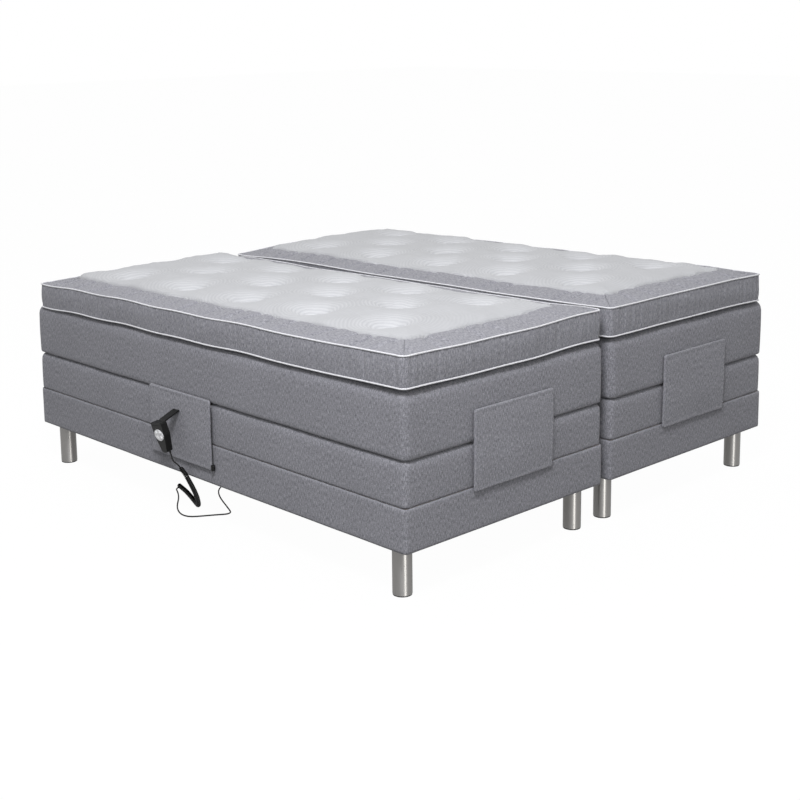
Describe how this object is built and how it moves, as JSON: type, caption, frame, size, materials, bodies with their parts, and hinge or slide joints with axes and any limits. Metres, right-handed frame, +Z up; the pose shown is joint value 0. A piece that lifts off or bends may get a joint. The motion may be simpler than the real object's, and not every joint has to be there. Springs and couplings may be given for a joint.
{
  "type": "adjustable bed base",
  "caption": "Upholstered adjustable bed base made of joined side-by-side beds with tilting back and leg sections, mattress, quilted topper, round steel legs and a corded handset.",
  "frame": {"origin": "middle of the footprint on the floor, with the handset that hangs on the left side counted in", "axes": "+Z up, +Y towards the head end, +X across the beds from the left one to the right one"},
  "size_m": [1.9523, 2.014, 0.7475],
  "materials": {
    "upholstery": "fine grey melange weave",
    "mattress_cover": "fine grey melange weave, piped edges",
    "topper_border": "soft grey knit",
    "topper_panel": "white quilted knit",
    "edge_piping": "light grey piping cord",
    "frame_timber": "planed softwood",
    "slat_wood": "bowed birch laminate",
    "frame_steel": "black powder coat",
    "leg_steel": "brushed round tube",
    "glide_plastic": "black",
    "drive_plastic": "black textured",
    "motor_plastic": "dark grey",
    "handset_plastic": "black textured",
    "keypad_white": "white",
    "key_plastic": "light grey",
    "cord_black": "black",
    "pull_cord": "braided black",
    "bead_plastic": "black"
  },
  "bodies": {
    "base": {"base_frames": "frame_timber", "hinge_brackets": "frame_steel", "joining_bars": "frame_steel", "legs": "leg_steel", "leg_glides": "glide_plastic", "drive_cases": "drive_plastic", "drive_motors": "motor_plastic", "left_base_cover": "upholstery", "left_seat_cover": "upholstery", "left_side_flap": "upholstery", "left_mattress_seat": "mattress_cover", "left_topper_seat": "topper_panel", "right_base_cover": "upholstery", "right_seat_cover": "upholstery", "right_side_flap": "upholstery", "right_mattress_seat": "mattress_cover", "right_topper_seat": "topper_panel", "handset_front": "handset_plastic", "handset_hook": "handset_plastic", "keypad": "keypad_white", "handset_lead": "cord_black", "curly_cord": "cord_black", "floor_lead": "cord_black", "cord_gland": "drive_plastic", "flap_cord": "pull_cord", "flap_cord_bead": "bead_plastic"},
    "left_back": {"left_back_frame": "frame_steel", "left_back_slats": "slat_wood", "left_back_cover": "upholstery", "left_mattress_back": "mattress_cover", "left_topper_back": "topper_panel"},
    "left_leg_rest": {"left_leg_frame": "frame_steel", "left_leg_slats": "slat_wood", "left_leg_cover": "upholstery", "left_mattress_leg": "mattress_cover", "left_topper_leg": "topper_panel", "left_foot_flap": "upholstery"},
    "left_back_lift": {"left_back_lift": "frame_steel"},
    "left_leg_lift": {"left_leg_lift": "frame_steel"},
    "left_back_pusher": {"left_back_pusher": "drive_plastic"},
    "left_leg_pusher": {"left_leg_pusher": "drive_plastic"},
    "right_back": {"right_back_frame": "frame_steel", "right_back_slats": "slat_wood", "right_back_cover": "upholstery", "right_mattress_back": "mattress_cover", "right_topper_back": "topper_panel"},
    "right_leg_rest": {"right_leg_frame": "frame_steel", "right_leg_slats": "slat_wood", "right_leg_cover": "upholstery", "right_mattress_leg": "mattress_cover", "right_topper_leg": "topper_panel", "right_foot_flap": "upholstery"},
    "right_back_lift": {"right_back_lift": "frame_steel"},
    "right_leg_lift": {"right_leg_lift": "frame_steel"},
    "right_back_pusher": {"right_back_pusher": "drive_plastic"},
    "right_leg_pusher": {"right_leg_pusher": "drive_plastic"},
    "key_back_up": {"key_back_up": "key_plastic"},
    "key_back_down": {"key_back_down": "key_plastic"},
    "key_leg_up": {"key_leg_up": "key_plastic"},
    "key_leg_down": {"key_leg_down": "key_plastic"}
  },
  "joints": [
    {"name": "left_back_tilt", "type": "hinge", "parent": "base", "child": "left_back", "pos_m": [-0.428, 0.21, 0.408], "axis": [1, 0, 0], "range_deg": [0, 55], "deforming": ["left_mattress_seat", "left_topper_seat"]},
    {"name": "left_leg_tilt", "type": "hinge", "parent": "base", "child": "left_leg_rest", "pos_m": [-0.428, -0.06, 0.408], "axis": [-1, 0, 0], "range_deg": [0, 28]},
    {"name": "left_back_lift_turn", "type": "hinge", "parent": "base", "child": "left_back_lift", "pos_m": [-0.428, 0.246, 0.34], "axis": [1, 0, 0], "range_deg": [0, 55.1]},
    {"name": "left_leg_lift_turn", "type": "hinge", "parent": "base", "child": "left_leg_lift", "pos_m": [-0.428, -0.096, 0.34], "axis": [-1, 0, 0], "range_deg": [0, 29.73]},
    {"name": "left_back_push", "type": "slide", "parent": "base", "child": "left_back_pusher", "axis": [0, 1, 0], "range_m": [0, 0.052]},
    {"name": "left_leg_push", "type": "slide", "parent": "base", "child": "left_leg_pusher", "axis": [0, -1, 0], "range_m": [0, 0.029]},
    {"name": "right_back_tilt", "type": "hinge", "parent": "base", "child": "right_back", "pos_m": [0.512, 0.21, 0.408], "axis": [1, 0, 0], "range_deg": [0, 55], "deforming": ["right_mattress_seat", "right_topper_seat"]},
    {"name": "right_leg_tilt", "type": "hinge", "parent": "base", "child": "right_leg_rest", "pos_m": [0.512, -0.06, 0.408], "axis": [-1, 0, 0], "range_deg": [0, 28]},
    {"name": "right_back_lift_turn", "type": "hinge", "parent": "base", "child": "right_back_lift", "pos_m": [0.512, 0.246, 0.34], "axis": [1, 0, 0], "range_deg": [0, 55.1]},
    {"name": "right_leg_lift_turn", "type": "hinge", "parent": "base", "child": "right_leg_lift", "pos_m": [0.512, -0.096, 0.34], "axis": [-1, 0, 0], "range_deg": [0, 29.73]},
    {"name": "right_back_push", "type": "slide", "parent": "base", "child": "right_back_pusher", "axis": [0, 1, 0], "range_m": [0, 0.052]},
    {"name": "right_leg_push", "type": "slide", "parent": "base", "child": "right_leg_pusher", "axis": [0, -1, 0], "range_m": [0, 0.029]},
    {"name": "key_back_up_press", "type": "slide", "parent": "base", "child": "key_back_up", "axis": [0.9785, 0, 0.2062], "range_m": [0, 0.0012], "stiffness_N_per_m": 400},
    {"name": "key_back_down_press", "type": "slide", "parent": "base", "child": "key_back_down", "axis": [0.9785, 0, 0.2062], "range_m": [0, 0.0012], "stiffness_N_per_m": 400},
    {"name": "key_leg_up_press", "type": "slide", "parent": "base", "child": "key_leg_up", "axis": [0.9785, 0, 0.2062], "range_m": [0, 0.0012], "stiffness_N_per_m": 400},
    {"name": "key_leg_down_press", "type": "slide", "parent": "base", "child": "key_leg_down", "axis": [0.9785, 0, 0.2062], "range_m": [0, 0.0012], "stiffness_N_per_m": 400}
  ],
  "couplings": [
    {"joint": "left_back_lift_turn", "follows": "left_back_tilt", "ratio": 1.0017},
    {"joint": "left_back_push", "follows": "left_back_tilt", "m_per_rad": 0.05396},
    {"joint": "left_leg_lift_turn", "follows": "left_leg_tilt", "ratio": 1.0613},
    {"joint": "left_leg_push", "follows": "left_leg_tilt", "m_per_rad": 0.05873},
    {"joint": "right_back_lift_turn", "follows": "right_back_tilt", "ratio": 1.0017},
    {"joint": "right_back_push", "follows": "right_back_tilt", "m_per_rad": 0.05396},
    {"joint": "right_leg_lift_turn", "follows": "right_leg_tilt", "ratio": 1.0613},
    {"joint": "right_leg_push", "follows": "right_leg_tilt", "m_per_rad": 0.05873}
  ]
}
